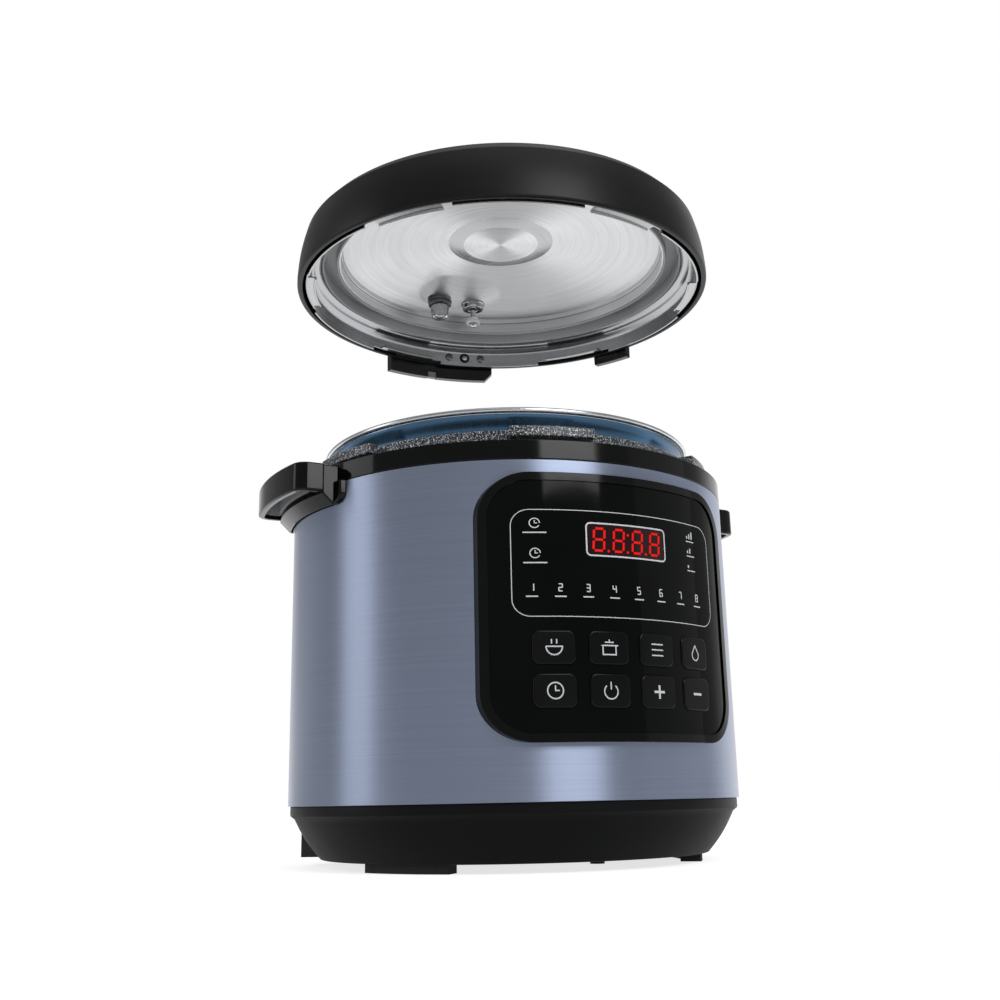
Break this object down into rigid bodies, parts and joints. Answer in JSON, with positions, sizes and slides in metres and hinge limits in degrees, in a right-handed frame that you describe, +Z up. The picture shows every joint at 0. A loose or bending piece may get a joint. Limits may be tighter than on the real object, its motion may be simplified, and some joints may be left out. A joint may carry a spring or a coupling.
{
  "type": "electric pressure cooker",
  "caption": "Electric pressure cooker with a bayonet lid held open above a flared inner pot, a brushed steel body, side handles and a control panel.",
  "frame": {"origin": "middle of the underside, on the surface it stands on, at the pot's axis", "axes": "+Z up along the pot's axis, the control panel faces -Y, and the handles lie along +X and -X"},
  "size_m": [0.322, 0.29, 0.463],
  "materials": {
    "pan_plastic": "satin charcoal moulded plastic, fine texture",
    "foot_rubber": "black rubber",
    "inlet_plastic": "black moulded plastic",
    "pin_brass": "bright plated brass",
    "screw_steel": "zinc plated steel",
    "chassis_steel": "galvanised sheet steel",
    "band_steel": "slate blue-grey tinted steel, brushed round the body",
    "gloss_black": "polished black plastic",
    "liner_grey": "mid grey satin plastic",
    "pot_enamel": "speckled dark grey coating on the pressure pot",
    "pot_steel": "satin stainless steel",
    "heater_cast": "cast aluminium, turned top",
    "sensor_metal": "bright aluminium",
    "spring_steel": "spring steel wire",
    "switch_plastic": "ivory plastic",
    "board_green": "green solder mask on glass fibre",
    "part_blue": "moulded electronic parts",
    "overlay_black": "glossy black printed film on acrylic",
    "window_red": "dark red tinted lens",
    "key_black": "black moulded keys",
    "cup_smoke": "smoky black plastic",
    "seal_silicone": "light grey silicone rubber",
    "lid_steel": "spun and brushed stainless steel",
    "lid_black": "satin black moulded plastic",
    "float_red": "metal pin with a coloured tip",
    "cap_white": "white silicone rubber"
  },
  "bodies": {
    "base": {"base_pan": "pan_plastic", "feet": "foot_rubber", "power_inlet": "inlet_plastic", "inlet_pins": "pin_brass", "pan_screws": "screw_steel", "chassis_posts": "chassis_steel", "housing_band": "band_steel", "top_ring": "gloss_black", "left_handle": "gloss_black", "right_handle": "gloss_black", "left_handle_liner": "liner_grey", "right_handle_liner": "liner_grey", "outer_pot": "pot_enamel", "heat_shield": "chassis_steel", "heating_plate": "heater_cast", "heater_terminals": "pin_brass", "sensor_bracket": "chassis_steel", "pressure_switch": "switch_plastic", "thermal_fuse": "sensor_metal", "power_board": "board_green", "power_parts": "part_blue", "control_bezel": "gloss_black", "panel_overlay": "overlay_black", "display_window": "window_red", "display_module": "switch_plastic", "control_board": "board_green", "key_switches": "switch_plastic", "cup_rail": "cup_smoke", "sensor_spring": "spring_steel"},
    "inner_pot": {"inner_pot": "pot_steel"},
    "thermal_sensor": {"thermal_sensor": "sensor_metal"},
    "condensation_cup": {"condensation_cup": "cup_smoke"},
    "seal": {"sealing_ring": "seal_silicone", "seal_rack": "lid_steel"},
    "lid": {"lid_shell": "lid_steel", "lid_cover": "lid_black", "lid_grip": "lid_black", "grip_screws": "screw_steel", "lid_rear_bracket": "lid_black", "lid_tab": "lid_black", "lid_screws": "screw_steel", "exhaust_pipe": "lid_steel", "exhaust_nut": "lid_steel", "float_guide": "lid_steel"},
    "exhaust_filter": {"exhaust_filter": "lid_steel"},
    "release_knob": {"release_knob": "lid_black"},
    "float_valve": {"float_pin": "float_red", "float_cap": "cap_white"},
    "lock_pin": {"lock_pin": "screw_steel"},
    "button_1": {"button_1": "key_black"},
    "button_2": {"button_2": "key_black"},
    "button_3": {"button_3": "key_black"},
    "button_4": {"button_4": "key_black"},
    "button_5": {"button_5": "key_black"},
    "button_6": {"button_6": "key_black"},
    "button_plus": {"button_plus": "key_black"},
    "button_minus": {"button_minus": "key_black"}
  },
  "joints": [
    {"name": "lid_lift", "type": "slide", "parent": "base", "child": "seal", "axis": [0, 0, 1], "range_m": [-0.1455, 0.02]},
    {"name": "lid_turn", "type": "hinge", "parent": "seal", "child": "lid", "pos_m": [0, 0, 0.3755], "axis": [0, 0, -1], "range_deg": [-37, 0]},
    {"name": "inner_pot_lift", "type": "slide", "parent": "base", "child": "inner_pot", "axis": [0, 0, 1], "range_m": [0, 0.1]},
    {"name": "sensor_plunge", "type": "slide", "parent": "base", "child": "thermal_sensor", "axis": [0, 0, 1], "range_m": [-0.003, 0], "stiffness_N_per_m": 900, "springref_m": 0.001, "deforming": ["sensor_spring"]},
    {"name": "condensation_cup_lift", "type": "slide", "parent": "base", "child": "condensation_cup", "axis": [0, 0, 1], "range_m": [0, 0.05]},
    {"name": "release_knob_turn", "type": "hinge", "parent": "lid", "child": "release_knob", "pos_m": [-0.00758, 0.08667, 0.43], "axis": [0, 0, 1], "range_deg": [0, 60]},
    {"name": "exhaust_filter_pull", "type": "slide", "parent": "lid", "child": "exhaust_filter", "axis": [0, 0, -1], "range_m": [0, 0.012]},
    {"name": "float_valve_rise", "type": "slide", "parent": "lid", "child": "float_valve", "axis": [0, 0, 1], "range_m": [0, 0.004]},
    {"name": "lock_pin_slide", "type": "slide", "parent": "lid", "child": "lock_pin", "axis": [-0.2504, -0.9681, 0], "range_m": [0, 0.003]},
    {"name": "button_1_press", "type": "slide", "parent": "base", "child": "button_1", "axis": [0.319, 0.9478, 0], "range_m": [0, 0.0006], "stiffness_N_per_m": 800, "springref_m": -0.0005},
    {"name": "button_2_press", "type": "slide", "parent": "base", "child": "button_2", "axis": [0.108, 0.9942, 0], "range_m": [0, 0.0006], "stiffness_N_per_m": 800, "springref_m": -0.0005},
    {"name": "button_3_press", "type": "slide", "parent": "base", "child": "button_3", "axis": [-0.108, 0.9942, 0], "range_m": [0, 0.0006], "stiffness_N_per_m": 800, "springref_m": -0.0005},
    {"name": "button_4_press", "type": "slide", "parent": "base", "child": "button_4", "axis": [-0.319, 0.9478, 0], "range_m": [0, 0.0006], "stiffness_N_per_m": 800, "springref_m": -0.0005},
    {"name": "button_5_press", "type": "slide", "parent": "base", "child": "button_5", "axis": [0.319, 0.9478, 0], "range_m": [0, 0.0006], "stiffness_N_per_m": 800, "springref_m": -0.0005},
    {"name": "button_6_press", "type": "slide", "parent": "base", "child": "button_6", "axis": [0.108, 0.9942, 0], "range_m": [0, 0.0006], "stiffness_N_per_m": 800, "springref_m": -0.0005},
    {"name": "button_plus_press", "type": "slide", "parent": "base", "child": "button_plus", "axis": [-0.108, 0.9942, 0], "range_m": [0, 0.0006], "stiffness_N_per_m": 800, "springref_m": -0.0005},
    {"name": "button_minus_press", "type": "slide", "parent": "base", "child": "button_minus", "axis": [-0.319, 0.9478, 0], "range_m": [0, 0.0006], "stiffness_N_per_m": 800, "springref_m": -0.0005}
  ]
}
